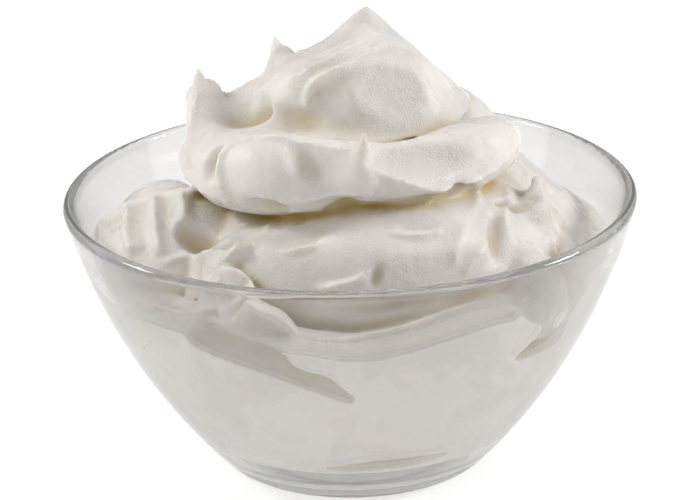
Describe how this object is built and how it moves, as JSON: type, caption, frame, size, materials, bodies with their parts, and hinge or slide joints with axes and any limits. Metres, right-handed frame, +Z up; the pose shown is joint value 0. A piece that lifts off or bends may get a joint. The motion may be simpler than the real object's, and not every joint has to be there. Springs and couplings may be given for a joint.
{
  "type": "bowl of yogurt",
  "caption": "Clear glass dessert bowl heaped with thick white yogurt in loose swirled folds that rise to a pointed crown.",
  "frame": {"origin": "on the table under the middle of the bowl", "axes": "+Z up along the bowl's axis; -Y is the front, where the heap's pulled edge and the two folds against the glass are; +X is to the right of the front"},
  "size_m": [0.14, 0.14, 0.1125],
  "materials": {
    "bowl_glass": "clear polished glass",
    "yogurt": "moist matt white with small wet glints"
  },
  "bodies": {
    "root": {"bowl": "bowl_glass", "yogurt": "yogurt"}
  },
  "joints": []
}
